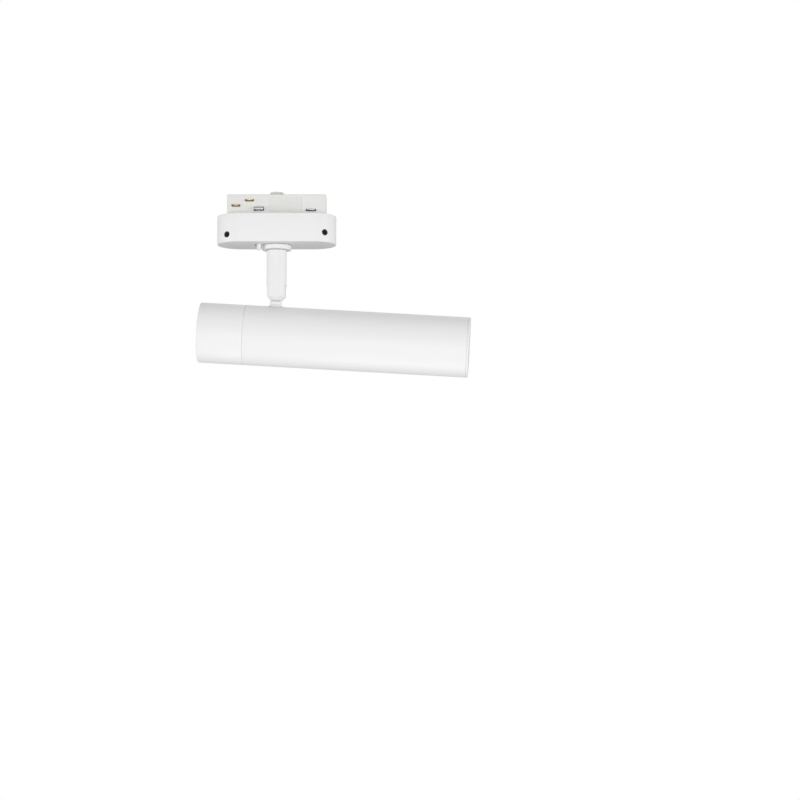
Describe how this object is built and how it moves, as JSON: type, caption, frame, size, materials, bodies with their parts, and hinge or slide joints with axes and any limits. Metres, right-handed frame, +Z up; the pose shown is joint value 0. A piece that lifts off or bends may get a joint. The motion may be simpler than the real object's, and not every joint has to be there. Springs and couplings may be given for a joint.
{
  "type": "track spotlight",
  "caption": "Slim tubular track spotlight: a head that tilts on a swivel stem under an oval adapter, which locks into a lighting track with a lever and two latches.",
  "frame": {"origin": "centre of the adapter's flat seat, where it meets the underside of the track", "axes": "+X along the track towards the lamp's front, +Y to the back, +Z up into the track"},
  "size_m": [0.1823, 0.0462, 0.1249],
  "materials": {
    "white_coat": "fine satin powder coat",
    "white_plastic": "matt moulded",
    "lead_sheath": "soft matt sheath",
    "nylon": "matt moulded",
    "black_steel": "black oxide",
    "brass": "bright",
    "steel": "zinc plated",
    "heat_sink_aluminium": "as extruded",
    "reflector_aluminium": "polished and faintly faceted",
    "black_baffle": "dead matt black",
    "glass": "clear",
    "rubber": "matt",
    "board": "solder resist",
    "phosphor": "satin silicone",
    "transformer_tape": "polyester tape",
    "black_plastic": "shrunk sleeve",
    "copper_wire": "enamelled copper"
  },
  "bodies": {
    "root": {"adapter_housing": "white_coat", "adapter_base": "white_plastic", "contact_line_1": "brass", "contact_line_2": "brass", "contact_line_3": "brass", "contact_neutral": "brass", "earth_clip": "steel", "terminal_block": "nylon", "terminal_screw_1": "brass", "terminal_screw_2": "brass", "terminal_screw_3": "brass", "grub_screw_left": "black_steel", "grub_screw_right": "black_steel", "swivel_bush": "white_coat", "lead_adapter": "lead_sheath"},
    "lever": {"lock_lever": "white_plastic"},
    "front_latch": {"latch_front": "steel"},
    "rear_latch": {"latch_rear": "steel"},
    "selector": {"circuit_selector": "nylon"},
    "stem": {"stem": "white_coat", "stem_nipple": "steel", "thrust_washer": "nylon", "pan_stop_washer": "steel", "spring_washer": "steel", "swivel_nut": "brass", "tilt_screw": "steel", "friction_washer_front": "steel", "friction_washer_rear": "steel", "lead_stem": "lead_sheath"},
    "head": {"knuckle": "white_coat", "saddle_washer": "steel", "knuckle_nut": "brass", "head_tube": "white_coat", "rear_cap": "white_coat", "cap_seal": "rubber", "front_bezel": "white_coat", "baffle": "black_baffle", "front_glass": "glass", "glass_seal": "rubber", "reflector": "reflector_aluminium", "led_holder": "white_plastic", "holder_screw_1": "steel", "holder_screw_2": "steel", "led_emitter": "phosphor", "led_board": "board", "thermal_pad": "rubber", "heat_sink": "heat_sink_aluminium", "driver_tray": "white_plastic", "driver_board": "board", "driver_transformer": "transformer_tape", "driver_capacitor": "black_plastic", "driver_choke": "copper_wire", "driver_connector": "nylon", "lead_head": "lead_sheath", "lead_led": "lead_sheath"}
  },
  "joints": [
    {"name": "pan", "type": "hinge", "parent": "root", "child": "stem", "pos_m": [0, 0, -0.0233], "axis": [0, 0, 1], "range_deg": [-160, 164]},
    {"name": "tilt", "type": "hinge", "parent": "stem", "child": "head", "pos_m": [0, 0, -0.0522], "axis": [0.0349, 0.9994, 0], "range_deg": [-3.5, 44]},
    {"name": "lock", "type": "hinge", "parent": "root", "child": "lever", "pos_m": [0, 0, -0.0163], "axis": [0, 0, 1], "range_deg": [-66, 0]},
    {"name": "front_latch_slide", "type": "slide", "parent": "root", "child": "front_latch", "axis": [0, -1, 0], "range_m": [-0.00285, 0]},
    {"name": "rear_latch_slide", "type": "slide", "parent": "root", "child": "rear_latch", "axis": [0, 1, 0], "range_m": [-0.00285, 0]},
    {"name": "circuit", "type": "hinge", "parent": "root", "child": "selector", "pos_m": [0, 0, 0.0153], "axis": [0, 0, 1], "range_deg": [-60, 60]}
  ],
  "couplings": [
    {"joint": "front_latch_slide", "follows": "lock", "m_per_rad": 0.00243},
    {"joint": "rear_latch_slide", "follows": "lock", "m_per_rad": 0.00243}
  ]
}
